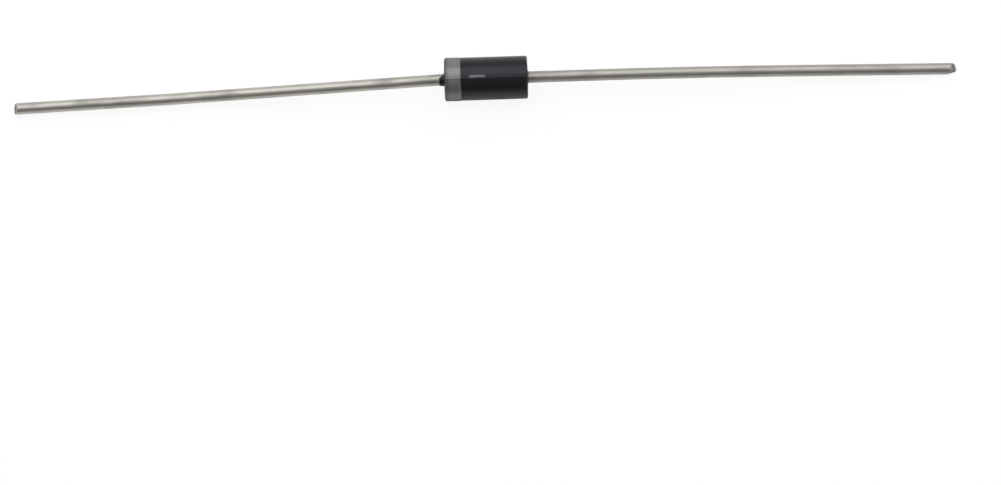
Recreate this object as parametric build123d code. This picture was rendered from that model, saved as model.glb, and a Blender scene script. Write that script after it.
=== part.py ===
from build123d import *
from math import acos, atan2, degrees, hypot, radians, tan
import os

# Axial rectifier diode, lying on its side. Millimetres, +Z up, X along the leads, cathode end at -X.
# The origin is on the surface that the diode lies on, under the middle of its body.

# Moulded epoxy body
body_length = 5.2  # rim to rim
body_diameter = 2.7
rim_radius = 0.14  # rounding where the side meets each end
end_crown = 0.03  # each end rises this far from its rim to the lead
collar_wall = 0.02  # thin epoxy that creeps along each lead
collar_foot = 0.03  # that collar is this much wider where it leaves the end
cathode_collar = 0.32  # length of the collar on the cathode lead
anode_collar = 0.03

# Line where the two halves of the mould met, all round the body
flash_height = 0.03
flash_width = 0.08

# Stub where the epoxy entered the mould, beside that line
gate_length = 1.13
gate_width = 0.24
gate_height = 0.03
gate_root = 0.165  # how deep the stub reaches into the body
gate_middle = -0.56  # along X

# Ink band at the cathode end
band_from_rim = 0.02
band_width = 1.01
ink_thickness = 0.02

# Tinned copper leads: reach is from the rim to the tip along X, and the tips lie sideways towards -Y
lead_diameter = 0.72
cathode_reach = 27.12
cathode_sideways = 0.74
cathode_kink_from_rim = 0.25
cathode_kink_radius = 6.0
cathode_bend_from_rim = 17.5
cathode_bend_share = 0.70  # share of the bow that is reached at the bend
cathode_bend_radius = 200.0
anode_reach = 27.0
anode_sideways = 0.03
anode_bend_from_rim = 10.0
anode_bend_radius = 200.0

# The leads' cut ends lean back at their tops, and the anode lead's is also nipped at one side
cathode_cut_lean = 18.0  # degrees
anode_cut_lean = 30.0
nip_slope = 20.0  # degrees from the wire's line
nip_left = 0.45  # what is left of the wire's thickness at its end

# The nail head that each lead has inside the body, and the ring that locks it in the epoxy
head_diameter = 1.8
head_thickness = 0.30
neck_diameter = 1.1
neck_length = 0.15
lock_diameter = 1.15
lock_thickness = 0.25
lock_from_head = 0.75
lock_flank = 0.12

# Rectifier chip, soldered between the two heads
die_side = 1.1
die_thickness = 0.28
die_edge_angle = 12.0  # degrees: the etched edge slopes in towards the cathode
solder_thickness = 0.06
solder_flare = 0.05  # the solder is this much wider where it meets a head

# Silicone collar over the chip's edge
coating_diameter = 2.15
coating_overhang = 0.15  # it creeps this far over the rim of each head

body_radius = body_diameter / 2
lead_radius = lead_diameter / 2
head_radius = head_diameter / 2
stack_half = die_thickness / 2 + solder_thickness

# The body rests on its inked side and on the mould line's corner, so the line lies just off the bottom.
resting_radius = body_radius + ink_thickness
flash_reach = resting_radius + flash_height
inked_flash_half = flash_width / 2 + ink_thickness
corner_reach = hypot(flash_reach, inked_flash_half)
flash_from_bottom = degrees(acos(resting_radius / corner_reach) + atan2(inked_flash_half, flash_reach))
axis_height = resting_radius

# The mould line's two sides lie off the bottom towards +Y and off the top towards -Y.
level = Pos(0, 0, axis_height)
rolled = Location((0, 0, axis_height), (90 + flash_from_bottom, 0, 0))


def end_outline(growth, collar_length):
    """Corners of one end's outline as distances from the middle and from the axis, from rim to lead."""
    rim = body_length / 2 + growth
    crown = rim + end_crown
    collar_radius = lead_radius + collar_wall + growth
    return [
        (rim, body_radius + growth),
        (crown, collar_radius + collar_foot),
        (crown + collar_length, collar_radius),
        (crown + collar_length, 0),
    ]


def half_outline(growth):
    """The moulding's outline above the axis, in the XY plane, grown outwards by growth."""
    cathode_end = [(-x, y) for x, y in end_outline(growth, cathode_collar)]
    anode_end = end_outline(growth, anode_collar)
    face = make_face(Polyline(*reversed(cathode_end), *anode_end, close=True))
    rims = face.vertices().sort_by(Axis.Y)[-2:]
    return fillet(rims, rim_radius + growth)


def moulding(growth):
    """The body as moulded, round the X axis, with its mould line in the XY plane."""
    turned = revolve(half_outline(growth), Axis.X)
    flash = extrude(half_outline(growth + flash_height), flash_width / 2 + growth, both=True)
    return turned + flash + mirror(flash, Plane.XZ)


def gate_stub():
    """A low block on the mould line at the top, on the side that faces +Y."""
    depth = gate_height + gate_root
    middle_y = body_radius + gate_height - depth / 2
    return Pos(gate_middle, middle_y, -gate_width / 2) * Box(gate_length, depth, gate_width)


def ink_band(bare_body):
    """Ink that follows the moulding's surface, mould line and all."""
    band_start = -body_length / 2 + band_from_rim
    stretch = Pos(band_start + band_width / 2, 0, 0) * Box(band_width, 2 * body_diameter, 2 * body_diameter)
    return (moulding(ink_thickness) & stretch) - bare_body


def turned_on_lead(corners):
    """A ring of the lead's own metal, from corners given as distances along it and from its axis."""
    return revolve(make_face(Polyline(*corners, close=True)), Axis.X)


def nail_head():
    back = stack_half + head_thickness
    return turned_on_lead([
        (stack_half, 0),
        (stack_half, head_radius),
        (back, head_radius),
        (back, neck_diameter / 2),
        (back + neck_length, lead_radius),
        (back + neck_length, 0),
    ])


def lock_ring():
    start = stack_half + head_thickness + lock_from_head
    lock_radius = lock_diameter / 2
    return turned_on_lead([
        (start, 0),
        (start, lead_radius),
        (start + lock_flank, lock_radius),
        (start + lock_thickness, lock_radius),
        (start + lock_thickness + lock_flank, lead_radius),
        (start + lock_thickness + lock_flank, 0),
    ])


class LeadLine:
    """One lead's line, from inside the body, round its bends, to its tip.

    The lead leaves along the body's axis and ends on the surface that the diode lies on, some way towards -Y.
    Its frame has x out of the body and y the way that the lead bows. A bend is given as its distance from the
    rim, the share of the bow that is reached there, and its radius.
    """

    def __init__(self, side, reach, sideways, bends):
        rim = body_length / 2
        drop = axis_height - lead_radius
        bow = hypot(drop, sideways)
        out = Vector(side, 0, 0)
        bow_way = Vector(0, -sideways / bow, -drop / bow)
        self.side = side
        self.frame = Plane(origin=(0, 0, axis_height), x_dir=out, z_dir=out.cross(bow_way))
        self.root = Vector(stack_half, 0)
        self.turns = [Vector(rim + from_rim, share * bow) for from_rim, share, radius in bends]
        self.radii = [radius for from_rim, share, radius in bends]
        self.tip = Vector(rim + reach, bow)

    def wire(self):
        path = FilletPolyline(self.root, *self.turns, self.tip, radius=self.radii)
        section = Plane(origin=self.root, z_dir=(1, 0, 0)) * Circle(lead_radius)
        return self.frame * sweep(section, path)

    def tip_frame(self):
        """Where the tip is shaped: x along the wire's last stretch, y level and z up."""
        end = self.frame.from_local_coords(self.tip)
        last_stretch = end - self.frame.from_local_coords(self.turns[-1])
        return Plane(origin=end, x_dir=last_stretch, z_dir=last_stretch.cross(Vector(0, self.side, 0)))


cathode_kink = (cathode_kink_from_rim, 0, cathode_kink_radius)
cathode_bend = (cathode_bend_from_rim, cathode_bend_share, cathode_bend_radius)
anode_bend = (anode_bend_from_rim, 0, anode_bend_radius)
cathode_line = LeadLine(-1, cathode_reach, cathode_sideways, [cathode_kink, cathode_bend])
anode_line = LeadLine(1, anode_reach, anode_sideways, [anode_bend])


def beyond(turn, lean):
    """All that lies past a plane through the origin: turned from square to the wire, leaning back at its top."""
    reach = 4 * lead_diameter
    return Rot(0, 0, turn) * Rot(0, -lean, 0) * Pos(reach / 2, 0, 0) * Box(reach, reach, reach)


def cut_wire(line, lean):
    """A lead's wire, cut through the lowest point of its tip."""
    return line.wire() - line.tip_frame() * Pos(0, 0, -lead_radius) * beyond(0, lean)


def cathode_lead():
    wire = cut_wire(cathode_line, cathode_cut_lean)
    return wire + cathode_line.frame * (nail_head() + lock_ring())


def anode_lead():
    nip = Pos(0, lead_radius - nip_left, 0) * beyond(nip_slope - 90, 0)
    wire = cut_wire(anode_line, anode_cut_lean) - anode_line.tip_frame() * nip
    return wire + anode_line.frame * (nail_head() + lock_ring())


def square_on_axis(x, side):
    return Plane(origin=(x, 0, 0), z_dir=(1, 0, 0)) * Rectangle(side, side)


def solder_joint(head_face, die_face, die_face_side):
    """Solder that fills from the die's own face to a slightly wider square on a head."""
    on_head = square_on_axis(head_face, die_face_side + 2 * solder_flare)
    return loft([on_head, square_on_axis(die_face, die_face_side)])


def coating_outline():
    """Half outline of the silicone collar: it bulges between the heads and tails off over their rims."""
    edge = stack_half + coating_overhang
    bulge = ThreePointArc((-edge, head_radius), (0, coating_diameter / 2), (edge, head_radius))
    sides = Polyline((edge, head_radius), (edge, 0), (-edge, 0), (-edge, head_radius))
    return make_face([bulge, sides])


cathode_wire = cathode_lead()
anode_wire = anode_lead()

die_face = die_thickness / 2
die_small_side = die_side - 2 * die_thickness * tan(radians(die_edge_angle))
die = level * loft([square_on_axis(-die_face, die_small_side), square_on_axis(die_face, die_side)])
cathode_joint = level * solder_joint(-stack_half, -die_face, die_small_side)
anode_joint = level * solder_joint(stack_half, die_face, die_side)

junction = level * revolve(coating_outline(), Axis.X)
coating = junction - cathode_wire - anode_wire - die - cathode_joint - anode_joint

bare_moulding = moulding(0)
body = rolled * (bare_moulding + gate_stub()) - cathode_wire - anode_wire - junction
band = rolled * ink_band(bare_moulding)

nodes = {
    "epoxy_body": body,
    "cathode_band": band,
    "cathode_lead": cathode_wire,
    "anode_lead": anode_wire,
    "silicon_die": die,
    "cathode_solder": cathode_joint,
    "anode_solder": anode_joint,
    "junction_coating": coating,
}

os.makedirs("parts", exist_ok=True)
for name, shape in nodes.items():
    export_step(shape, f"parts/{name}.step")
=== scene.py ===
"""Looks of an axial rectifier diode: moulded epoxy body, printed cathode band and two tinned leads.

Everything is in metres. X runs along the body from the cathode end to the anode end, and +Z is up.
"""

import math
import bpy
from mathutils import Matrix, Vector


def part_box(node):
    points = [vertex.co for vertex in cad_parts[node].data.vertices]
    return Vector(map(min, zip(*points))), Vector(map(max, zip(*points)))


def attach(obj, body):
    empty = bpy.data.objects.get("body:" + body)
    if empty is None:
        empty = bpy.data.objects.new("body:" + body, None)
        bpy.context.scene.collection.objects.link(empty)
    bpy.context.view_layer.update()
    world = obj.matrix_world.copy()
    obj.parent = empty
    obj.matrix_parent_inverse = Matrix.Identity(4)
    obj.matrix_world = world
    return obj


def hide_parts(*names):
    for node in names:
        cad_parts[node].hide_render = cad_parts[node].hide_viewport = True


bl_info = {
    "name": "Axial Rectifier Diode",
    "version": (1, 0, 0),
    "blender": (4, 5, 0),
    "location": "3D View > Sidebar > Diode",
    "description": "Builds the body, band and leads of an axial rectifier diode, and its studio",
    "category": "Object",
}

import bpy
import numpy as np
from bpy.props import FloatProperty, FloatVectorProperty, PointerProperty
from mathutils import Matrix, Vector

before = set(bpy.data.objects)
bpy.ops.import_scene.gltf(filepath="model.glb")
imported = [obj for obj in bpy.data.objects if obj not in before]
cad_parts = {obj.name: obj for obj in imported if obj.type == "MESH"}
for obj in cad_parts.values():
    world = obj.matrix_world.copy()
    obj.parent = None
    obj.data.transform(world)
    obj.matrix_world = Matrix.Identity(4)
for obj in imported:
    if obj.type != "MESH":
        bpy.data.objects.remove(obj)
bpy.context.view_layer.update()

MM = 0.001
BODY = "root"

# Places read from the frame
coating_low, coating_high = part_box("junction_coating")
band_low, band_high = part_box("cathode_band")
body_low, body_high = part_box("epoxy_body")
AXIS_HEIGHT = (coating_low.z + coating_high.z) / 2
STACK_HALF = -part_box("cathode_solder")[0].x

# The photograph's frame, where the middle of the body lies in it, its scale, and the camera's sensor
PHOTO_WIDTH_PX = 1001
PHOTO_HEIGHT_PX = 485
BODY_X_PX = 486.0
BODY_Y_PX = 78.4
PX_PER_MM = 15.95
SENSOR_WIDTH_MM = 36.0

# How finely the surfaces are divided: round the body, closer together at its mould line, round a lead,
# along a lead's line, and across the band's top and underside
BODY_COLUMNS = 280
CROWDING = 0.8
LEAD_COLUMNS = 96
LINE_STEPS = 6001
BAND_TOP_STEPS = 46
BAND_UNDER_STEPS = 12

# Length before a tip over which the wire's surface is shortened to end on the cut, the rings of that
# length, of the cut's rounding and of the cut, and the angle from which an edge of the wire looks sharp
TIP_STRETCH = 1.5 * MM
TIP_RINGS = 39
ROUNDING_RINGS = 6
CUT_RINGS = 11
SHARP_EDGE = math.radians(35)

# Small dents, listed: distance along the wire, angle round it, size and depth, in millimetres and radians
WIRE_NICKS = (
    (4.6, 4.2, 0.10, 0.012),
    (9.3, 5.1, 0.07, 0.010),
    (13.8, 3.6, 0.12, 0.012),
    (18.9, 4.7, 0.08, 0.010),
    (22.4, 5.6, 0.10, 0.012),
    (26.7, 4.1, 0.09, 0.011),
)


def number(name, description, default, **kind):
    """A property without a unit, or of the kind that is given."""
    return FloatProperty(name=name, description=description, default=default, **kind)


def length(name, description, mm):
    """A length property, given here in millimetres."""
    return number(name, description, mm * MM, unit="LENGTH", subtype="DISTANCE", precision=5)


def share(name, description, default):
    """A property from 0 to 1."""
    return number(name, description, default, min=0.0, max=1.0, subtype="FACTOR")


def angle(name, description, degrees):
    """An angle property, given here in degrees."""
    return number(name, description, math.radians(degrees), subtype="ANGLE")


def colour(name, description, default):
    """A linear colour property."""
    kind = {"size": 3, "min": 0.0, "max": 1.0, "subtype": "COLOR"}
    return FloatVectorProperty(name=name, description=description, default=default, **kind)


class BodySizes(bpy.types.PropertyGroup):
    """Sizes of the moulded epoxy body"""

    radius: length("Radius", "Radius of the moulding", (body_high.y - body_low.y) / 2 / MM)
    rim_to_rim: length("Rim to rim", "Length of the cylinder, without the crowned ends", 5.2)
    rim_radius: length("Rim rounding", "Rounding where the side meets an end", 0.14)
    end_crown: length("End crown", "How far an end rises from its rim to the lead", 0.03)
    collar_wall: length("Collar wall", "Thickness of the epoxy that creeps along a lead", 0.02)
    collar_foot: length("Collar foot", "How much wider the collar is where it leaves the end", 0.03)
    # Most of the cathode collar's length is a black sleeve that stands in for painted shade on the lead
    # beside the body.
    cathode_shade_collar: length("Cathode shade collar", "Length of the collar on the cathode lead", 0.32)
    anode_collar: length("Anode collar", "Length of the collar on the anode lead", 0.03)
    flash_height: length("Mould line height", "Height of the line between the mould halves", 0.03)
    flash_width: length("Mould line width", "Width of that line", 0.08)
    gate_length: length("Gate stub length", "Length of the stub where the epoxy entered", 1.13)
    gate_width: length("Gate stub width", "Width of the stub across the body", 0.24)
    gate_height: length("Gate stub height", "Height of the stub above the moulding", 0.03)
    gate_middle: length("Gate stub place", "Middle of the stub along the body", -0.56)


class BandSizes(bpy.types.PropertyGroup):
    """Sizes of the printed cathode band"""

    start: length("Band start", "Edge of the ink near the cathode rim", band_low.x / MM)
    end: length("Band end", "Edge of the ink towards the middle", band_high.x / MM)
    ink: length("Ink thickness", "Thickness of the ink", 0.02)
    waver: length("Edge waver", "How far the edge of the ink strays inwards", 0.035)
    # Painted shade: the black shows through the ink towards the cathode rim, where the rounding turns from
    # the light.
    rim_shade: share("Rim shade", "How much of the black shows through the ink at the rim", 0.36)


class LeadSizes(bpy.types.PropertyGroup):
    """Sizes that both leads share"""

    radius: length("Wire radius", "Radius of the tinned wire", 0.36)
    tip_rounding: length("Tip rounding", "Rounding of the wire's cut edges", 0.04)
    head_radius: length("Head radius", "Radius of the nail head inside the body", 0.90)
    head_thickness: length("Head thickness", "Thickness of the nail head", 0.30)
    neck_radius: length("Neck radius", "Radius of the cone behind the head", 0.55)
    neck_length: length("Neck length", "Length of that cone", 0.15)
    lock_radius: length("Lock ring radius", "Radius of the ring that locks the lead in the epoxy", 0.575)
    lock_thickness: length("Lock ring thickness", "Thickness of that ring", 0.25)
    lock_from_head: length("Lock ring place", "From the head to the ring", 0.75)
    lock_flank: length("Lock ring flank", "Length of each sloping side of the ring", 0.12)


class CathodeLine(bpy.types.PropertyGroup):
    """The bent line and the cut tip of the cathode lead"""

    reach: length("Reach", "From the body's rim to the tip", 27.12)
    sideways: length("Sideways", "How far the tip lies towards -Y", 0.74)
    kink_from_rim: length("Kink place", "From the rim to the small kink near the body", 0.25)
    kink_radius: length("Kink radius", "Radius of that kink", 6.0)
    bend_from_rim: length("Bend place", "From the rim to the long gentle bend", 17.5)
    bend_share: share("Bend share", "Share of the bow that is reached at the bend", 0.70)
    bend_radius: length("Bend radius", "Radius of the gentle bend", 200)
    cut_lean: angle("Cut lean", "How far the cut leans back at its top", 18)


class AnodeLine(bpy.types.PropertyGroup):
    """The bent line and the nipped tip of the anode lead"""

    reach: length("Reach", "From the body's rim to the tip", 27.0)
    sideways: length("Sideways", "How far the tip lies towards -Y", 0.03)
    bend_from_rim: length("Bend place", "From the rim to the long gentle bend", 10.0)
    bend_radius: length("Bend radius", "Radius of the gentle bend", 200)
    cut_lean: angle("Cut lean", "How far the cut leans back at its top", 30)
    nip_slope: angle("Nip slope", "Slope of the nipped side, from the wire's line", 20)
    nip_left: length("Nip thickness", "What is left of the wire's thickness at its end", 0.45)


class Finishes(bpy.types.PropertyGroup):
    """Colours of the finishes"""

    epoxy: colour("Epoxy", "Black moulding compound", (0.0178, 0.0174, 0.0180))
    epoxy_scuff: colour("Scuffed epoxy", "Moulding compound where it is rubbed", (0.030, 0.030, 0.032))
    # The broken grey is partly the stub's torn surface and partly a painted highlight along the stub.
    epoxy_broken_highlight: colour("Broken epoxy and highlight", "Moulding compound where the stub broke off", (0.26, 0.26, 0.265))
    epoxy_index: number("Epoxy index", "Refractive index of the epoxy", 1.38)
    epoxy_sheen: colour("Epoxy sheen", "Tint of the epoxy's gloss", (0.90, 0.85, 1.0))
    ink: colour("Band ink", "Silver-grey ink of the cathode band", (0.245, 0.245, 0.24))
    ink_sheen: colour("Ink sheen", "Tint of the ink's gloss where it turns away", (0.40, 0.40, 0.42))
    tin: colour("Tin", "Tin plating of the leads", (0.587, 0.57, 0.51))
    tin_dull: colour("Dull tin", "Tin plating where it has dulled", (0.405, 0.39, 0.355))
    # Makes the anode lead's tin darker overall: at least this share of the dull tin is mixed in everywhere.
    anode_darkening: share("Anode lead darkening", "How dull the anode lead is where it is brightest", 0.5)
    cut: colour("Cut wire", "Cut ends of the leads", (0.20, 0.19, 0.175))
    silicon: colour("Silicon", "Etched edge of the chip", (0.10, 0.11, 0.14))
    solder: colour("Solder", "High-lead solder", (0.42, 0.42, 0.43))
    silicone: colour("Silicone", "Milky coating round the chip", (0.72, 0.70, 0.64))
    floor: colour("Floor", "Plain white surface", (0.80, 0.80, 0.80))


class StudioSettings(bpy.types.PropertyGroup):
    """Camera, lamp, card, room and floor"""

    elevation: angle("Camera elevation", "Height of the camera above the horizon", 75)
    roll: angle("Camera roll", "How far the diode rises to the right in the picture", 1.8)
    distance: length("Camera distance", "From the camera to the picture's middle", 450)
    reach: length("Lamp distance", "From the diode to lamp and dark card", 1000)
    edge: angle("Lamp and card edge", "Where lamp and card meet, from overhead towards -Y", 2.7)
    lamp_back: angle("Lamp's far edge", "Where the lamp ends, from overhead towards +Y", 48)
    lamp_width: length("Lamp width", "Width of the lamp along the diode", 2200)
    lamp_level: number("Lamp level", "Brightness of the lamp's face", 1.7)
    lamp_colour: colour("Lamp colour", "Colour of the lamp's light", (0.97, 0.97, 1.0))
    card_front: angle("Card's near edge", "Where the dark card ends, from overhead towards -Y", 89)
    card_width: length("Card width", "Width of the dark card along the diode", 3200)
    card: colour("Card", "Dark grey card that shades the near side", (0.06, 0.06, 0.06))
    room_level: number("Room level", "Brightness of the pale room all round", 0.42)
    floor_half: length("Floor half width", "From the diode to the floor's edges", 3000)
    shadow: share("Floor shading", "Share of the floor's white that is lit", 0.08)
    mirrored_shadow: share("Mirrored floor shading", "That share, for the floor in metal", 0.9)
    daylight: number("Light on the floor", "Light that the open floor gets", 0.78)


class DiodeSettings(bpy.types.PropertyGroup):
    """All settings of the diode"""

    body: PointerProperty(type=BodySizes)
    band: PointerProperty(type=BandSizes)
    lead: PointerProperty(type=LeadSizes)
    cathode: PointerProperty(type=CathodeLine)
    anode: PointerProperty(type=AnodeLine)
    finish: PointerProperty(type=Finishes)
    studio: PointerProperty(type=StudioSettings)


# Shapes as arrays


def smooth_step(low, high, value):
    """0 below low, 1 above high, and between them 3t^2 - 2t^3 with t the way from low to high."""
    t = np.clip((value - low) / (high - low), 0.0, 1.0)
    return t * t * (3 - 2 * t)


def ripple(value, waves, phase):
    """A smooth uneven line from -1 to 1.

    It is the mean of three sines of the value times waves, each faster than the last.
    """
    slow = np.sin(waves * value + phase)
    faster = np.sin(2.3 * waves * value + 2.1 * phase + 1.0)
    fastest = np.sin(5.1 * waves * value + 3.7 * phase + 2.0)
    return (slow + faster + fastest) / 3


def rounded_line(corners, radii, spacing, arc_points=9):
    """A line through corners with each inner corner rounded.

    An arc of the corner's radius touches both runs at radius times the tangent of half the turn. Straight
    runs get a point at least every spacing.
    """
    corners = np.asarray(corners, float)
    pieces = [corners[:1]]
    for before, corner, after, radius in zip(corners[:-2], corners[1:-1], corners[2:], radii):
        way_in = (corner - before) / np.linalg.norm(corner - before)
        way_out = (after - corner) / np.linalg.norm(after - corner)
        turn = math.atan2(way_in[0] * way_out[1] - way_in[1] * way_out[0], way_in @ way_out)
        if radius == 0:
            pieces.append(corner[None])
            continue
        tangent = radius * math.tan(abs(turn) / 2)
        side = math.copysign(1.0, turn) * np.array([-way_in[1], way_in[0]])
        start = corner - tangent * way_in
        turned = np.linspace(0.0, abs(turn), arc_points)[:, None]
        pieces.append(start + radius * (np.sin(turned) * way_in + (1 - np.cos(turned)) * side))
    pieces.append(corners[-1:])
    filled = [pieces[0]]
    for piece in pieces[1:]:
        start = filled[-1][-1]
        steps = max(1, math.ceil(np.linalg.norm(piece[0] - start) / spacing))
        between = start + np.linspace(0.0, 1.0, steps + 1)[1:-1, None] * (piece[0] - start)
        filled += [between, piece]
    return np.concatenate(filled)


def angles_round_body():
    """Angles once round the body as a row, closest together at the mould line, at 0 and half a turn.

    Each is an even t minus half of the crowding times the sine of 2t.
    """
    t = np.arange(BODY_COLUMNS) * 2 * math.pi / BODY_COLUMNS
    return (t - CROWDING / 2 * np.sin(2 * t))[None, :]


def grid_faces(rows, columns, rows_close):
    """Corner numbers of the quads of a grid whose columns close, wound so that they face outwards."""
    row = np.arange(rows if rows_close else rows - 1)[:, None]
    column = np.arange(columns)[None, :]
    next_row = (row + 1) % rows
    next_column = (column + 1) % columns
    corners = [row * columns + column, row * columns + next_column]
    corners += [next_row * columns + next_column, next_row * columns + column]
    return np.stack([c.ravel() for c in corners], axis=1)


def make_mesh(name, points, quads, triangles=()):
    """A mesh from an array of points, an array of quads and an array of triangles."""
    mesh = bpy.data.meshes.new(name)
    mesh.vertices.add(len(points))
    mesh.vertices.foreach_set("co", points.astype(np.float32).ravel())
    corners = np.concatenate([quads.ravel(), np.ravel(triangles)])
    sizes = np.repeat([4, 3], [len(quads), len(triangles)])
    mesh.loops.add(len(corners))
    mesh.loops.foreach_set("vertex_index", corners.astype(np.int32))
    mesh.polygons.add(len(sizes))
    mesh.polygons.foreach_set("loop_start", (np.cumsum(sizes) - sizes).astype(np.int32))
    mesh.polygons.foreach_set("use_smooth", np.ones(len(sizes), bool))
    mesh.update(calc_edges=True)
    mesh.validate()
    return mesh


def add_object(name, data):
    """Puts a mesh, a lamp or a camera into the scene."""
    added = bpy.data.objects.new(name, data)
    bpy.context.scene.collection.objects.link(added)
    return added


def add_piece(mesh, material, node):
    """Adds a finished piece that stands for a CAD node and moves with the diode."""
    piece = add_object(mesh.name, mesh)
    mesh.materials.append(material)
    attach(piece, BODY)
    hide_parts(node)


def mark_points(mesh, name, values, kind="FLOAT", field="value"):
    """Gives each point of a mesh a value of its own, for its finish to read."""
    attribute = mesh.attributes.new(name, kind, "POINT")
    attribute.data.foreach_set(field, values.astype(np.float32).ravel())


def mould_line_tilt(settings):
    """How far the mould line lies from the top: the body rests on its inked side and on that line's corner.

    The corner touches the surface when it has turned by the angle whose cosine is the resting radius over
    the corner's own, and the line's middle lies past it by the angle of half the line's width.
    """
    resting = settings.body.radius + settings.band.ink
    reach = resting + settings.body.flash_height
    half_width = settings.body.flash_width / 2 + settings.band.ink
    return math.acos(resting / math.hypot(reach, half_width)) + math.atan2(half_width, reach)


def round_the_body(x, radius, angles, tilt):
    """Points at distances x along the body and radius from its axis, at angles from the upper mould line.

    That line lies off the top by the tilt, and both count towards -Y.
    """
    y = -radius * np.sin(angles + tilt)
    z = AXIS_HEIGHT + radius * np.cos(angles + tilt)
    return np.stack([x * np.ones_like(y), y, z], axis=-1)


def outside_corners(body, lead_radius):
    """Corners of the moulding's outline as (along, from the axis), from cathode lead to anode lead."""
    rim = body.rim_to_rim / 2
    crown = rim + body.end_crown
    collar = lead_radius + body.collar_wall
    foot = collar + body.collar_foot
    cathode_end, anode_end = (
        [(rim, body.radius), (crown, foot), (crown + reach, collar), (crown + reach, lead_radius)]
        for reach in (body.cathode_shade_collar, body.anode_collar)
    )
    return [(-x, r) for x, r in reversed(cathode_end)] + anode_end


def lead_corners(lead):
    """Corners of a lead's outline inside the body as (along, from the axis), from its head to bare wire."""
    head_back = STACK_HALF + lead.head_thickness
    neck_end = head_back + lead.neck_length
    lock = head_back + lead.lock_from_head
    lock_back = lock + lead.lock_thickness
    return [
        (STACK_HALF, lead.head_radius),
        (head_back, lead.head_radius),
        (head_back, lead.neck_radius),
        (neck_end, lead.radius),
        (lock, lead.radius),
        (lock + lead.lock_flank, lead.lock_radius),
        (lock_back, lead.lock_radius),
        (lock_back + lead.lock_flank, lead.radius),
    ]


def cavity_outline(lead):
    """Outline of the space inside the moulding, from the anode collar back to the cathode collar.

    Along each lead it is the lead's own outline, and between the heads it is the coating's arc.
    """
    anode_side = lead_corners(lead)[1:][::-1]
    cathode_side = [(-x, r) for x, r in lead_corners(lead)[1:]]
    edge = (coating_high.x - coating_low.x) / 2
    bulge = (coating_high.z - coating_low.z) / 2 - lead.head_radius
    arc_radius = (edge**2 + bulge**2) / (2 * bulge)
    along = np.linspace(edge, -edge, 13)
    arc = lead.head_radius + bulge - arc_radius + np.sqrt(arc_radius**2 - along**2)
    return np.concatenate([anode_side, np.stack([along, arc], axis=1), cathode_side])


def outline_normals(line):
    """Distance along an outline at each of its points, and the direction square to it, outwards."""
    steps = np.linalg.norm(np.diff(line, axis=0), axis=1)
    travelled = np.concatenate([[0.0], np.cumsum(steps)])
    along = np.gradient(line[:, 0], travelled)
    outwards = np.gradient(line[:, 1], travelled)
    normal = np.stack([-outwards, along], axis=1)
    return travelled, normal / np.linalg.norm(normal, axis=1)[:, None]


def flash_ridge(body, radius, angles):
    """Height of the mould line: it falls off with the fourth power of the distance from the mould's plane."""
    from_plane = radius * np.sin(angles) / (body.flash_width / 2)
    return body.flash_height * np.exp(-(from_plane**4))


def moulded_surface(settings, angles):
    """The moulding as a closed grid of points, with the shares of wear and of broken surface at each.

    A closed outline is turned round the body's axis. Outside, each point moves out along the outline's
    normal by the mould line's rounded ridge and by the gate stub's flat-topped block. The cathode collar,
    a black sleeve of painted shade on that lead beside the body, is then shortened by its share at each
    angle.
    """
    body, lead = settings.body, settings.lead
    lip, root, spacing = 0.008 * MM, 0.02 * MM, 0.027 * MM
    radii = [lip, root, body.rim_radius, body.rim_radius, root, lip]
    outside = rounded_line(outside_corners(body, lead.radius), radii, spacing)
    inside = cavity_outline(lead)
    travelled, normal = outline_normals(outside)
    soft_end = 0.05 * MM
    fade = smooth_step(0, soft_end, travelled) * smooth_step(0, soft_end, travelled[-1] - travelled)

    x, r = outside[:, 0, None], outside[:, 1, None]
    uneven = 0.8 + 0.2 * ripple(x / MM, 3.1, 0.4) * np.cos(angles)
    rise = uneven * flash_ridge(body, r, angles) * fade[:, None] + gate_rise(body, x, angles)
    moved_x = x + normal[:, 0, None] * rise
    moved_r = r + normal[:, 1, None] * rise

    tilt = mould_line_tilt(settings)
    crown = body.rim_to_rim / 2 + body.end_crown
    past_crown = np.minimum(moved_x + crown, 0.0)
    # Shortens the cathode collar, a sleeve of painted shade, to its share at each angle.
    moved_x = moved_x - past_crown * (1 - shade_collar_share(angles + tilt))
    skin = round_the_body(moved_x, moved_r, angles, tilt)
    cavity = round_the_body(inside[:, 0, None], inside[:, 1, None], angles, tilt)

    rub_inset, rub_width = 0.04 * MM, 0.09 * MM
    from_rim = (np.abs(x) - body.rim_to_rim / 2 + rub_inset) / rub_width
    rims = np.exp(-(from_rim**2)) * (r > 0.7 * body.radius)
    wear = np.clip(np.maximum(rims, 0.6 * rise / body.flash_height), 0, 1)
    unmarked = np.zeros(cavity.shape[:2])
    marks = {
        "wear": np.concatenate([wear, unmarked]),
        # The broken share is partly torn surface and partly a painted highlight on the gate stub.
        "broken": np.concatenate([broken_and_highlight_share(body, x, angles), unmarked]),
    }
    return np.concatenate([skin, cavity]), marks


def shade_collar_share(from_top):
    """Share of its length that the cathode collar has, by the angle from the top: it is short towards +Y.

    The collar is painted shade on that lead, longest on the -Y side that faces away from the lamp.
    """
    share_there = 0.15 + 0.85 * smooth_step(-0.75, 0.1, np.sin(from_top))
    return share_there * (0.93 + 0.07 * ripple(from_top, 2.0, 0.8))


def broken_and_highlight_share(body, x, angles):
    """Stub's grey, torn surface and painted highlight: most in its middle, less towards its ends and edges.
    """
    across = -body.radius * np.sin(angles)
    half_length = body.gate_length / 2
    from_middle = np.abs(x - body.gate_middle) + 0.05 * MM * ripple(across / MM, 12.0, 0.4)
    along = 1 - smooth_step(0.55 * half_length, 1.15 * half_length, from_middle)
    near = smooth_step(0.0, 0.11 * MM, across + 0.02 * MM * ripple(x / MM, 6.0, 1.1))
    far = 1 - smooth_step(0.6 * body.gate_width, 1.02 * body.gate_width, across)
    return np.where(np.cos(angles) > 0, along * near * far, 0.0)


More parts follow.
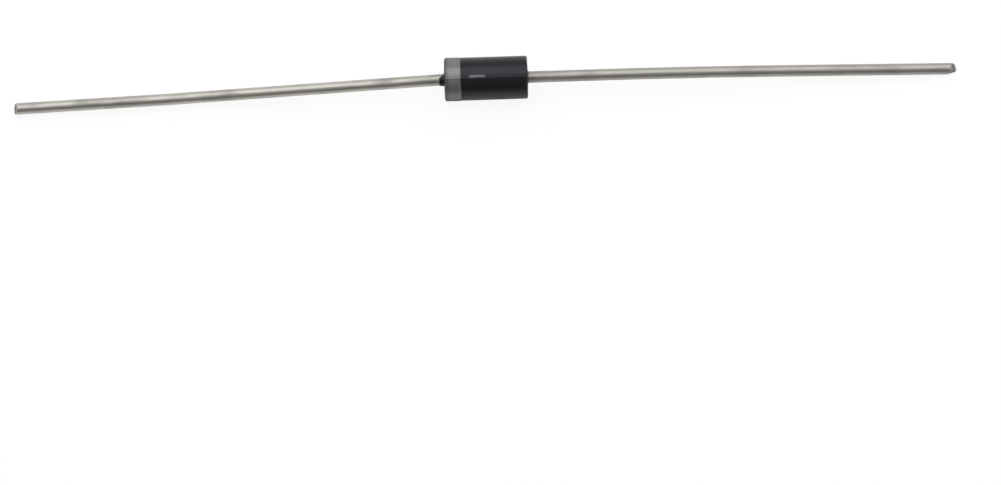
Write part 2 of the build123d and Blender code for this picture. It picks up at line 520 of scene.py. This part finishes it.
def gate_rise(body, x, angles):
    """Height of the gate stub over the moulding, on the +Y side of the upper mould line.

    Its sides rise within a few hundredths of a millimetre. Its top slopes down from the mould line and is
    uneven where the runner broke off.
    """
    soft = 0.03 * MM
    across = -body.radius * np.sin(angles)
    half_length = body.gate_length / 2
    inside = 1 - smooth_step(half_length - soft, half_length, np.abs(x - body.gate_middle))
    inside = inside * smooth_step(-soft, 0, across)
    inside = inside * (1 - smooth_step(body.gate_width - soft, body.gate_width, across))
    sloping = body.radius + body.gate_height * (1 - 0.7 * across / body.gate_width)
    level = sloping / np.maximum(np.cos(angles), 0.5) - body.radius
    broken = 0.85 + 0.15 * ripple(x / MM + 2.0 * across / MM, 9.0, 0.7)
    return np.where(np.cos(angles) > 0, inside * level * broken, 0.0)


def band_surface(settings, angles):
    """The ink as a closed grid: over the moulding it lies an ink thickness proud, thinner at both edges.

    The section runs out along the top of the ink and back a little under the moulding's skin. Each edge
    strays inwards by an uneven line of the angle.
    """
    body, band = settings.body, settings.band
    top = np.linspace(0, 1, BAND_TOP_STEPS)
    across = np.concatenate([top, np.linspace(1, 0, BAND_UNDER_STEPS)[1:-1]])[:, None]
    on_top = np.arange(len(across))[:, None] < len(top)
    left = band.start + band.waver * (0.4 + 0.4 * ripple(angles, 3.0, 0.9))
    right = band.end - band.waver * (0.5 + 0.5 * ripple(angles, 4.0, 2.2))
    crowded = 0.5 - 0.5 * np.cos(math.pi * across)
    x = left + (right - left) * crowded
    past_rounding = np.clip(body.rim_radius - body.rim_to_rim / 2 - x, 0, body.rim_radius)
    fall = body.rim_radius - np.sqrt(body.rim_radius**2 - past_rounding**2)
    from_edge = np.minimum(crowded, 1 - crowded) * (right - left)
    soft_edge, sunk = 0.05 * MM, -0.012 * MM
    coat = 0.93 + 0.07 * ripple(angles + 2 * x / MM, 5.0, 0.3)
    thickness = band.ink * np.sqrt(np.clip(from_edge / soft_edge, 0.0, 1.0)) * coat
    ridge = 0.8 * flash_ridge(body, body.radius, angles)
    radius = body.radius - fall + ridge + np.where(on_top, thickness, sunk)
    return round_the_body(x, radius, angles, mould_line_tilt(settings))


def painted_rim_shade(settings, x):
    """Painted shade on the band: how much of the black shows through the ink, more at the rim's rounding."""
    body = settings.body
    past_rounding = (body.rim_radius - body.rim_to_rim / 2 - x) / body.rim_radius
    return settings.band.rim_shade * smooth_step(-1.3, 0.3, past_rounding)


def lead_line(settings, line, bends):
    """Distances, places and directions along one lead's line from its root, and which way it droops.

    The line's corners are the root, the bends and the tip. An arc of the bend's radius touches both runs at
    the radius times the tangent of half the turn. The direction is even on a run and turns evenly on an
    arc, and the place is the running sum of its cosine and sine.
    """
    rim = settings.body.rim_to_rim / 2 - STACK_HALF
    drop = AXIS_HEIGHT - settings.lead.radius
    bow = math.hypot(drop, line.sideways)
    from_rims, shares, radii = np.array(bends).T
    run_x = np.diff([0.0, *(rim + from_rims), rim + line.reach])
    run_y = np.diff([0.0, *(shares * bow), bow])
    slopes = np.arctan2(run_y, run_x)
    turns = np.diff(slopes)
    tangents = radii * np.tan(np.abs(turns) / 2)
    straights = np.hypot(run_x, run_y)
    straights[:-1] -= tangents
    straights[1:] -= tangents
    arcs = np.append(radii * np.abs(turns), 0.0)
    knots = np.concatenate([[0.0], np.cumsum(np.stack([straights, arcs], axis=1).ravel())[:-1]])
    along = np.linspace(0.0, knots[-1], LINE_STEPS)
    slope = np.interp(along, knots, np.repeat(slopes, 2))
    middle = (slope[1:] + slope[:-1]) / 2
    step = along[1]
    x = np.concatenate([[0.0], np.cumsum(step * np.cos(middle))])
    y = np.concatenate([[0.0], np.cumsum(step * np.sin(middle))])
    return along, x, y, slope, math.atan2(drop, line.sideways)


def lead_outline(sizes, total):
    """Outline of a whole lead as (along from its root, from its line), from its head to the cut's middle."""
    inner = [(x - STACK_HALF, r) for x, r in lead_corners(sizes)]
    soft, lock_soft, ring_spacing = 0.03 * MM, 0.02 * MM, 0.09 * MM
    radii = [soft, soft, 0, 0, 0, lock_soft, lock_soft, 0]
    corners = [(0, 0), *inner, (inner[-1][0] + soft, sizes.radius)]
    start = rounded_line(corners, radii, 0.3 * MM, arc_points=4)
    edge = sizes.tip_rounding
    wire = np.arange(start[-1, 0] + ring_spacing, total - TIP_STRETCH, ring_spacing)
    tip = np.linspace(total - TIP_STRETCH, total - edge, TIP_RINGS + 1)[:-1]
    tube = np.stack([np.concatenate([wire, tip]), np.full(len(wire) + len(tip), sizes.radius)], axis=1)
    turned = np.linspace(0, math.pi / 2, ROUNDING_RINGS)
    round_x = total - edge + edge * np.sin(turned)
    round_r = sizes.radius - edge + edge * np.cos(turned)
    inwards = np.linspace(1, 0, CUT_RINGS + 2)[1:]
    flat = np.stack([np.full(CUT_RINGS + 1, total), (sizes.radius - edge) * inwards], axis=1)
    return np.concatenate([start, tube, np.stack([round_x, round_r], axis=1), flat])


def plain_tip(line, radius, level, upright):
    """How far a plain cut shortens the wire: a plane through the tip's bottom that leans back at its top."""
    return -(upright + radius) * math.tan(line.cut_lean)


def nipped_tip(line, radius, level, upright):
    """How far a cut and a nip shorten the wire: the leaning plane, and a sloping one at the -Y side."""
    side = (level - radius + line.nip_left) / math.tan(line.nip_slope)
    return np.minimum(plain_tip(line, radius, level, upright), side)


def nicks(along, angles, radius):
    """Depth of a few small dents in the wire: each is a round hollow that falls off with distance."""
    depth = np.zeros(np.broadcast(along, angles).shape)
    for place, turn, size, deep in WIRE_NICKS:
        around = radius * (np.mod(angles - turn + math.pi, 2 * math.pi) - math.pi)
        distance = ((along - place * MM) / (2.2 * size * MM)) ** 2 + (around / (size * MM)) ** 2
        depth += deep * MM * np.exp(-distance)
    return depth


def lead_surface(settings, line, side, bends, cut):
    """A whole lead as a grid of points, with each point's place on the straight wire that it was bent from.

    The outline is turned round the lead's line. Near the tip each line of the surface is shortened to end
    on the cut.
    """
    sizes = settings.lead
    fine, fine_x, fine_y, fine_slope, droop = lead_line(settings, line, bends)
    total = fine[-1]
    outline = lead_outline(sizes, total)
    along, radius = outline[:, 0], outline[:, 1]
    x, y, slope = (np.interp(along, fine, values) for values in (fine_x, fine_y, fine_slope))
    angles = np.arange(LEAD_COLUMNS) * 2 * math.pi / LEAD_COLUMNS
    radius = radius[:, None] * np.ones((1, LEAD_COLUMNS))
    rim = settings.body.rim_to_rim / 2 - STACK_HALF
    bare = smooth_step(rim + 1.0 * MM, rim + 2.0 * MM, along)[:, None]
    dents = nicks(along[:, None], angles[None, :], sizes.radius) * (radius > 0.99 * sizes.radius)
    radius = radius - bare * dents
    level = radius * np.cos(angles)
    upright = radius * np.sin(angles)

    before_tip = (along - total)[:, None]
    share_of_tip = np.clip(1 + before_tip / TIP_STRETCH, 0, 1)
    burr = 0.006 * MM * (1 + ripple(angles, 4.0, 1.3)) * share_of_tip**12
    shift = cut(line, sizes.radius, level, upright) * share_of_tip - burr

    out = np.array([side, 0.0, 0.0])
    bow_way = np.array([0.0, -math.cos(droop), -math.sin(droop)])
    centre = np.array([side * STACK_HALF, 0.0, AXIS_HEIGHT]) + x[:, None] * out + y[:, None] * bow_way
    direction = np.cos(slope)[:, None] * out + np.sin(slope)[:, None] * bow_way
    level_way = np.array([0.0, side, 0.0]) - side * direction[:, 1, None] * direction
    level_way /= np.linalg.norm(level_way, axis=1)[:, None]
    upright_way = np.cross(direction, level_way)
    ways = np.stack([direction, level_way, upright_way], axis=1)
    points = centre[:, None] + np.stack([shift, level, upright], axis=-1) @ ways
    return points, np.stack([along[:, None] + shift, level, upright], axis=-1)


def capped_tube(points):
    """Vertices, quads and triangles of a tube whose first and last rows are single points."""
    columns = points.shape[1]
    rings = points[1:-1]
    vertices = np.concatenate([points[:1, 0], rings.reshape(-1, 3), points[-1:, 0]])
    quads = grid_faces(len(rings), columns, rows_close=False) + 1
    column = np.arange(columns)
    next_column = (column + 1) % columns
    last_ring = 1 + (len(rings) - 1) * columns
    first_fan = np.stack([np.zeros(columns, int), 1 + next_column, 1 + column], axis=1)
    last_point = np.full(columns, len(vertices) - 1)
    last_fan = np.stack([last_ring + column, last_ring + next_column, last_point], axis=1)
    return vertices, quads, np.concatenate([first_fan, last_fan])


# Finishes


def set_inputs(node, inputs):
    """Links each input to the socket that is given for it, or sets it to the number or colour given."""
    for name, value in inputs.items():
        if isinstance(value, bpy.types.NodeSocket):
            node.id_data.links.new(value, node.inputs[name])
        else:
            node.inputs[name].default_value = value


def add_node(tree, kind, label, inputs, **values):
    """A shader node of a kind with its inputs, and with some of its own values set."""
    node = tree.nodes.new(kind)
    node.label = label
    for name, value in values.items():
        setattr(node, name, value)
    set_inputs(node, inputs)
    return node


def blank_material(name):
    """A material with only its surface shader and output."""
    material = bpy.data.materials.new(name)
    material.use_nodes = True
    return material, material.node_tree


def set_surface(tree, base, roughness, normal, others):
    """Gives a finish's shader its colour, roughness, bump and other values."""
    inputs = {"Base Color": base, "Roughness": roughness, "Normal": normal, **others}
    set_inputs(tree.nodes["Principled BSDF"], inputs)


def opaque(tint, factor=1.0):
    """A colour with its alpha, made darker or paler by a factor."""
    return (*[min(1.0, factor * c) for c in tint], 1.0)


def noise(tree, label, coordinates, scale, detail=2.0, roughness=0.5):
    """Fractal noise at a scale in spots per metre."""
    inputs = {"Vector": coordinates, "Scale": scale, "Detail": detail, "Roughness": roughness}
    return add_node(tree, "ShaderNodeTexNoise", label, inputs).outputs["Fac"]


def spread(tree, label, value, low, high, to_low=0.0, to_high=1.0):
    """Maps a value from one range to another, and holds it there."""
    inputs = {"Value": value, "From Min": low, "From Max": high, "To Min": to_low, "To Max": to_high}
    return add_node(tree, "ShaderNodeMapRange", label, inputs, clamp=True).outputs["Result"]


def blend_colours(tree, label, factor, first, second, clamp=True):
    """Mixes two colours by a factor. A mix node has them at inputs 6 and 7 and the result at output 2."""
    inputs = {"Factor": factor, 6: first, 7: second}
    node = add_node(tree, "ShaderNodeMix", label, inputs, data_type="RGBA", clamp_factor=clamp)
    return node.outputs[2]


def combine(tree, label, operation, *values):
    """Joins values with a sum, a product or the like."""
    inputs = dict(enumerate(values))
    return add_node(tree, "ShaderNodeMath", label, inputs, operation=operation).outputs[0]


def relief(tree, label, height, depth, strength, below=None):
    """Bump of a real depth in metres, laid over another bump if there is one."""
    inputs = {"Height": height, "Distance": depth, "Strength": strength}
    if below is not None:
        inputs["Normal"] = below
    return add_node(tree, "ShaderNodeBump", label, inputs).outputs["Normal"]


def object_coordinates(tree):
    """Coordinates of the piece itself, in metres."""
    return add_node(tree, "ShaderNodeTexCoord", "Place on the piece", {}).outputs["Object"]


def point_values(tree, label, name, output="Fac"):
    """Values that the mesh carries at its points."""
    return add_node(tree, "ShaderNodeAttribute", label, {}, attribute_name=name).outputs[output]


def stretched(tree, coordinates, scale):
    """Coordinates scaled along each axis, so that spots become streaks."""
    inputs = {"Vector": coordinates, "Scale": scale}
    return add_node(tree, "ShaderNodeMapping", "Stretch", inputs).outputs["Vector"]


def epoxy_finish(finish):
    """Black moulding compound: fine texture, soft mottling, rubbed rims and mould line, and the torn stub
    with a painted highlight.
    """
    material, tree = blank_material("black_epoxy")
    place = object_coordinates(tree)
    mottle = noise(tree, "Flow mottling", place, 1600.0, 3.0)
    grain = noise(tree, "Mould texture", place, 24000.0, 3.0, 0.6)
    patchy = spread(tree, "Patchy rubbing", noise(tree, "Rubbing", place, 7000.0, 4.0), 0.42, 0.62)
    rubbed = combine(tree, "Rubbed patches", "MULTIPLY", point_values(tree, "Rubbed edges", "wear"), patchy)
    scuffs = noise(tree, "Scuffs", stretched(tree, place, (0.25, 1, 1)), 5200.0, 5.0)
    faint = spread(tree, "Faint scuffs", scuffs, 0.58, 0.74, 0.0, 0.5)
    worn = combine(tree, "All rubbing", "MAXIMUM", rubbed, faint)
    grainy = spread(tree, "Grainy break", grain, 0.35, 0.65, 0.7, 1.0)
    # Grey on the gate stub: partly torn surface, partly a painted highlight along the stub.
    torn = combine(tree, "Broken and highlight patches", "MULTIPLY", point_values(tree, "Broken stub and highlight", "broken"), grainy)
    dark, pale = opaque(finish.epoxy, 0.82), opaque(finish.epoxy, 1.18)
    base = blend_colours(tree, "Mottled black", mottle, dark, pale)
    base = blend_colours(tree, "Scuffed black", worn, base, opaque(finish.epoxy_scuff))
    base = blend_colours(tree, "Broken grey and highlight", torn, base, opaque(finish.epoxy_broken_highlight))
    satin = spread(tree, "Satin", mottle, 0.3, 0.7, 0.33, 0.39)
    soft = relief(tree, "Soft waves", mottle, 0.006 * MM, 0.5)
    fine = relief(tree, "Fine texture", grain, 0.004 * MM, 0.35, soft)
    sheen = combine(tree, "Rougher where rubbed", "MULTIPLY_ADD", worn, 0.12, satin)
    gloss = {"IOR": finish.epoxy_index, "Specular Tint": opaque(finish.epoxy_sheen)}
    set_surface(tree, base, sheen, fine, gloss)
    return material


def ink_finish(finish):
    """Silver-grey ink: fine metallic grain, thin spots where the black shows, painted shade at the rim, and a
    slightly uneven sheen.
    """
    material, tree = blank_material("silver_grey_ink")
    place = object_coordinates(tree)
    grain = noise(tree, "Pigment grain", place, 26000.0, 2.0, 0.7)
    cloud = noise(tree, "Uneven coat", place, 2600.0, 3.0)
    pinholes = noise(tree, "Pinholes", place, 9000.0, 4.0, 0.6)
    spots = spread(tree, "Thin spots", pinholes, 0.66, 0.74, 0.0, 0.6)
    # The thin spots are the ink's own; the mark at the rim is painted shade where the black shows through.
    thin = combine(tree, "Thin ink and rim shade", "MAXIMUM", spots, point_values(tree, "Painted shade at the rim", "thin"))
    shade = spread(tree, "Coat shade", cloud, 0.3, 0.7, 0.86, 1.08)
    pigment = spread(tree, "Grain shade", grain, 0.3, 0.7, 0.88, 1.1)
    level = combine(tree, "Shade", "MULTIPLY", shade, pigment)
    tinted = blend_colours(tree, "Shaded ink", level, (0, 0, 0, 1), opaque(finish.ink), clamp=False)
    base = blend_colours(tree, "Ink over black", thin, tinted, opaque(finish.epoxy))
    sheen = spread(tree, "Sheen", cloud, 0.3, 0.7, 0.38, 0.48)
    bump = relief(tree, "Ink grain", grain, 0.004 * MM, 0.4)
    set_surface(tree, base, sheen, bump, {"Metallic": 0.5, "Specular Tint": opaque(finish.ink_sheen)})
    return material


def tin_finish(name, finish, least_darkening):
    """Satin tin on drawn wire: fine lines along the wire, dull patches, slightly uneven plating, and a least
    share of dull tin mixed in everywhere.
    """
    material, tree = blank_material(name)
    place = point_values(tree, "Place on the straight wire", "straight", "Vector")
    lines = noise(tree, "Drawing lines", stretched(tree, place, (0.02, 1, 1)), 21000.0, 3.0, 0.6)
    patches = noise(tree, "Plating patches", stretched(tree, place, (0.35, 1, 1)), 1500.0, 4.0, 0.55)
    dull = spread(tree, "Dull patches", patches, 0.46, 0.70, least_darkening, 0.9)
    fleck = spread(tree, "Flecks", noise(tree, "Speckle", place, 15000.0, 2.0), 0.62, 0.74, 0.0, 0.35)
    base = blend_colours(tree, "Tin", dull, opaque(finish.tin), opaque(finish.tin_dull))
    base = blend_colours(tree, "Flecked tin", fleck, base, opaque(finish.tin_dull))
    streaked = spread(tree, "Streaked sheen", lines, 0.3, 0.7, 0.50, 0.60)
    bumpy = relief(tree, "Uneven plating", patches, 0.010 * MM, 0.5)
    drawn = relief(tree, "Drawn lines", lines, 0.003 * MM, 0.35, bumpy)
    sheen = combine(tree, "Duller sheen", "MULTIPLY_ADD", dull, 0.06, streaked)
    set_surface(tree, base, sheen, drawn, {"Metallic": 1.0})
    return material


def cut_finish(finish):
    """A sheared wire end: dull metal with torn lines across it."""
    material, tree = blank_material("cut_wire_end")
    place = stretched(tree, object_coordinates(tree), (1, 0.15, 1))
    torn = noise(tree, "Shear lines", place, 14000.0, 4.0, 0.65)
    base = blend_colours(tree, "Torn metal", torn, opaque(finish.cut, 0.7), opaque(finish.cut, 1.3))
    sheen = spread(tree, "Torn sheen", torn, 0.3, 0.7, 0.40, 0.55)
    set_surface(tree, base, sheen, relief(tree, "Torn relief", torn, 0.015 * MM, 0.6), {"Metallic": 1.0})
    return material


def grained_finish(name, tint, scale, rough, metallic, depth):
    """A plain grained finish for a piece that is sealed inside the body."""
    material, tree = blank_material(name)
    grain = noise(tree, "Grain", object_coordinates(tree), scale, 4.0, 0.6)
    base = blend_colours(tree, "Grained colour", grain, opaque(tint, 0.85), opaque(tint, 1.15))
    sheen = spread(tree, "Grained sheen", grain, 0.3, 0.7, rough - 0.06, rough + 0.06)
    bump = relief(tree, "Grained relief", grain, depth, 0.4)
    set_surface(tree, base, sheen, bump, {"Metallic": metallic})
    return material


# Operators


class DIODE_OT_mould_body(bpy.types.Operator):
    """Moulds the black epoxy body, with its mould line, gate stub and collars"""

    bl_idname = "diode.mould_body"
    bl_label = "Mould Body"

    def execute(self, context):
        settings = context.scene.axial_diode
        points, marks = moulded_surface(settings, angles_round_body())
        quads = grid_faces(len(points), BODY_COLUMNS, rows_close=True)
        mesh = make_mesh("moulded_body", points.reshape(-1, 3), quads)
        for name, values in marks.items():
            mark_points(mesh, name, values)
        add_piece(mesh, epoxy_finish(settings.finish), "epoxy_body")
        return {"FINISHED"}


class DIODE_OT_print_band(bpy.types.Operator):
    """Prints the silver-grey band round the cathode end"""

    bl_idname = "diode.print_band"
    bl_label = "Print Cathode Band"

    def execute(self, context):
        settings = context.scene.axial_diode
        points = band_surface(settings, angles_round_body())
        quads = grid_faces(len(points), BODY_COLUMNS, rows_close=True)
        mesh = make_mesh("printed_band", points.reshape(-1, 3), quads)
        # The mark at the rim is painted shade.
        mark_points(mesh, "thin", painted_rim_shade(settings, points[..., 0]))
        add_piece(mesh, ink_finish(settings.finish), "cathode_band")
        return {"FINISHED"}


class DIODE_OT_draw_leads(bpy.types.Operator):
    """Draws, bends and cuts the two tinned leads"""

    bl_idname = "diode.draw_leads"
    bl_label = "Draw Leads"

    def execute(self, context):
        settings = context.scene.axial_diode
        cathode, anode = settings.cathode, settings.anode
        cut_end = cut_finish(settings.finish)
        kink = (cathode.kink_from_rim, 0.0, cathode.kink_radius)
        cathode_bend = (cathode.bend_from_rim, cathode.bend_share, cathode.bend_radius)
        anode_bend = (anode.bend_from_rim, 0.0, anode.bend_radius)
        cathode_tin = tin_finish("cathode_tin", settings.finish, 0.0)
        # The anode lead's tin is made darker overall than the cathode's.
        anode_tin = tin_finish("anode_tin", settings.finish, settings.finish.anode_darkening)
        leads = (
            ("cathode_wire", "cathode_lead", cathode, -1, [kink, cathode_bend], plain_tip, cathode_tin),
            ("anode_wire", "anode_lead", anode, 1, [anode_bend], nipped_tip, anode_tin),
        )
        for name, node, line, side, bends, cut, tin in leads:
            points, straight = lead_surface(settings, line, side, bends, cut)
            vertices, quads, triangles = capped_tube(points)
            mesh = make_mesh(name, vertices, quads, triangles)
            mark_points(mesh, "straight", capped_tube(straight)[0], "FLOAT_VECTOR", "vector")
            add_piece(mesh, tin, node)
            mesh.materials.append(cut_end)
            on_cut = np.zeros(len(quads) + len(triangles), np.int32)
            on_cut[len(quads) - CUT_RINGS * LEAD_COLUMNS : len(quads)] = 1
            on_cut[-LEAD_COLUMNS:] = 1
            mesh.polygons.foreach_set("material_index", on_cut)
            mesh.set_sharp_from_angle(angle=SHARP_EDGE)
        return {"FINISHED"}


class DIODE_OT_finish_junction(bpy.types.Operator):
    """Gives the chip, solder and silicone inside the body their finishes"""

    bl_idname = "diode.finish_junction"
    bl_label = "Finish Junction"

    def execute(self, context):
        finish = context.scene.axial_diode.finish
        silicon = grained_finish("etched_silicon", finish.silicon, 9000.0, 0.38, 0.35, 0.004 * MM)
        solder = grained_finish("junction_solder", finish.solder, 6000.0, 0.42, 1.0, 0.006 * MM)
        silicone = grained_finish("milky_silicone", finish.silicone, 3500.0, 0.35, 0.0, 0.004 * MM)
        finishes = {
            "silicon_die": silicon,
            "cathode_solder": solder,
            "anode_solder": solder,
            "junction_coating": silicone,
        }
        for node, material in finishes.items():
            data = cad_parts[node].data
            data.materials.clear()
            data.materials.append(material)
        return {"FINISHED"}


class DIODE_OT_set_studio(bpy.types.Operator):
    """Sets the white floor, the softbox, the dark card, the room and the camera"""

    bl_idname = "diode.set_studio"
    bl_label = "Set Studio"

    def execute(self, context):
        settings = context.scene.axial_diode
        lay_floor(settings.finish, settings.studio)
        hang_softbox(settings.studio)
        hang_dark_card(settings.studio)
        paint_room(settings.studio)
        place_camera(settings.studio)
        return {"FINISHED"}


# Studio


def add_stage(name, corners, material):
    """Adds a flat four-sided piece of the studio."""
    mesh = make_mesh(name, np.array(corners, float), np.array([[0, 1, 2, 3]]))
    mesh.materials.append(material)
    piece = add_object(name, mesh)
    return piece


def white_floor(tree, label, lit_share, daylight):
    """White that is partly its own and partly lit: together they come to 1 on the open floor."""
    tint = (*[lit_share / daylight] * 3, 1.0)
    lit = add_node(tree, "ShaderNodeBsdfDiffuse", f"{label}, lit part", {"Color": tint})
    glow = add_node(tree, "ShaderNodeEmission", f"{label}, own white", {"Strength": 1.0 - lit_share})
    return add_node(tree, "ShaderNodeAddShader", label, {0: lit.outputs[0], 1: glow.outputs[0]}).outputs[0]


def choose(tree, label, factor, first, second):
    """One of two shaders by a factor of 0 or 1."""
    return add_node(tree, "ShaderNodeMixShader", label, {0: factor, 1: first, 2: second}).outputs[0]


def lay_floor(finish, studio):
    """A flat white square: the camera sees a faint shadow on it, and metal and glass nearly all of it."""
    material, tree = blank_material("white_floor")
    tree.nodes.clear()
    plain = add_node(tree, "ShaderNodeBsdfDiffuse", "Plain white", {"Color": opaque(finish.floor)})
    seen = white_floor(tree, "Floor in view", studio.shadow, studio.daylight)
    mirrored = white_floor(tree, "Floor in metal", studio.mirrored_shadow, studio.daylight)
    rays = add_node(tree, "ShaderNodeLightPath", "Ray", {}).outputs
    in_metal = combine(tree, "Metal or glass", "MAXIMUM", rays["Is Glossy Ray"], rays["Is Transmission Ray"])
    floor = choose(tree, "Light or metal", in_metal, plain.outputs[0], mirrored)
    floor = choose(tree, "Or camera", rays["Is Camera Ray"], floor, seen)
    add_node(tree, "ShaderNodeOutputMaterial", "Output", {"Surface": floor})
    half = studio.floor_half
    add_stage("floor", [(-half, -half, 0), (half, -half, 0), (half, half, 0), (-half, half, 0)], material)


def hang_board(from_overhead, to_overhead, reach):
    """Middle, direction away from the diode and half height of a flat board that fills a range of angles.

    The angles count from overhead towards -Y. The board's middle lies at the reach, in the middle of the
    range, and its half height is the reach times the tangent of half the range.
    """
    middle = (from_overhead + to_overhead) / 2
    away = Vector((0, -math.sin(middle), math.cos(middle)))
    return away * reach, away, reach * math.tan(abs(to_overhead - from_overhead) / 2)


def hang_softbox(studio):
    """A large lamp from overhead towards the far side. Its power is its level times pi times its area."""
    place, away, half_height = hang_board(studio.edge, -studio.lamp_back, studio.reach)
    lamp = bpy.data.lights.new("softbox", "AREA")
    lamp.shape = "RECTANGLE"
    lamp.size = studio.lamp_width
    lamp.size_y = 2 * half_height
    lamp.color = studio.lamp_colour
    lamp.energy = studio.lamp_level * math.pi * lamp.size * lamp.size_y
    across = Vector((1, 0, 0))
    turn = Matrix((across, away.cross(across), away)).transposed().to_4x4()
    add_object("softbox", lamp).matrix_world = Matrix.Translation(place) @ turn


def hang_dark_card(studio):
    """A dark grey card over the near side, out of view, so that the diode's near half stays dark."""
    place, away, half_height = hang_board(studio.edge, studio.card_front, studio.reach)
    material, tree = blank_material("dark_card")
    set_inputs(tree.nodes["Principled BSDF"], {"Base Color": opaque(studio.card), "Roughness": 0.9})
    across = Vector((studio.card_width / 2, 0, 0))
    down = away.cross(Vector((1, 0, 0))) * half_height
    corners = [place - across - down, place + across - down, place + across + down, place - across + down]
    card = add_stage("dark_card", corners, material)
    card.visible_camera = False


def paint_room(studio):
    """An even, pale grey all round."""
    world = bpy.data.worlds.new("pale_room")
    world.use_nodes = True
    background = world.node_tree.nodes["Background"]
    set_inputs(background, {"Color": (1.0, 1.0, 1.0, 1.0), "Strength": studio.room_level})
    bpy.context.scene.world = world


def place_camera(studio):
    """Looks down at the photograph's angle, with the body where the photograph has it."""
    up = studio.elevation
    back = Vector((0, -math.cos(up), math.sin(up)))
    level = Vector((1, 0, 0))
    upright = back.cross(level)
    right = math.cos(studio.roll) * level - math.sin(studio.roll) * upright
    top = math.sin(studio.roll) * level + math.cos(studio.roll) * upright
    mm_right = (PHOTO_WIDTH_PX / 2 - BODY_X_PX) / PX_PER_MM
    mm_down = (PHOTO_HEIGHT_PX / 2 - BODY_Y_PX) / PX_PER_MM
    target = Vector((0, 0, AXIS_HEIGHT)) + right * mm_right * MM - top * mm_down * MM
    data = bpy.data.cameras.new("camera")
    data.sensor_width = SENSOR_WIDTH_MM
    data.lens = SENSOR_WIDTH_MM * studio.distance / (PHOTO_WIDTH_PX / PX_PER_MM * MM)
    data.clip_start = studio.distance / 100
    camera = add_object("camera", data)
    turn = Matrix((right, top, back)).transposed().to_4x4()
    camera.matrix_world = Matrix.Translation(target + back * studio.distance) @ turn
    bpy.context.scene.camera = camera
    bpy.context.scene.view_settings.view_transform = "Standard"


# Panel and start


class DIODE_PT_pieces(bpy.types.Panel):
    """Lists the pieces of the diode"""

    bl_idname = "DIODE_PT_pieces"
    bl_label = "Axial Diode"
    bl_space_type = "VIEW_3D"
    bl_region_type = "UI"
    bl_category = "Diode"

    def draw(self, context):
        for operator in OPERATORS:
            self.layout.operator(operator.bl_idname)


OPERATORS = (
    DIODE_OT_mould_body,
    DIODE_OT_print_band,
    DIODE_OT_draw_leads,
    DIODE_OT_finish_junction,
    DIODE_OT_set_studio,
)
GROUPS = (BodySizes, BandSizes, LeadSizes, CathodeLine, AnodeLine, Finishes, StudioSettings, DiodeSettings)


def register():
    for cls in (*GROUPS, *OPERATORS, DIODE_PT_pieces):
        bpy.utils.register_class(cls)
    bpy.types.Scene.axial_diode = PointerProperty(type=DiodeSettings)


def unregister():
    del bpy.types.Scene.axial_diode
    for cls in reversed((*GROUPS, *OPERATORS, DIODE_PT_pieces)):
        bpy.utils.unregister_class(cls)


def main():
    register()
    bpy.ops.diode.mould_body()
    bpy.ops.diode.print_band()
    bpy.ops.diode.draw_leads()
    bpy.ops.diode.finish_junction()
    bpy.ops.diode.set_studio()


if __name__ == "__main__":
    main()
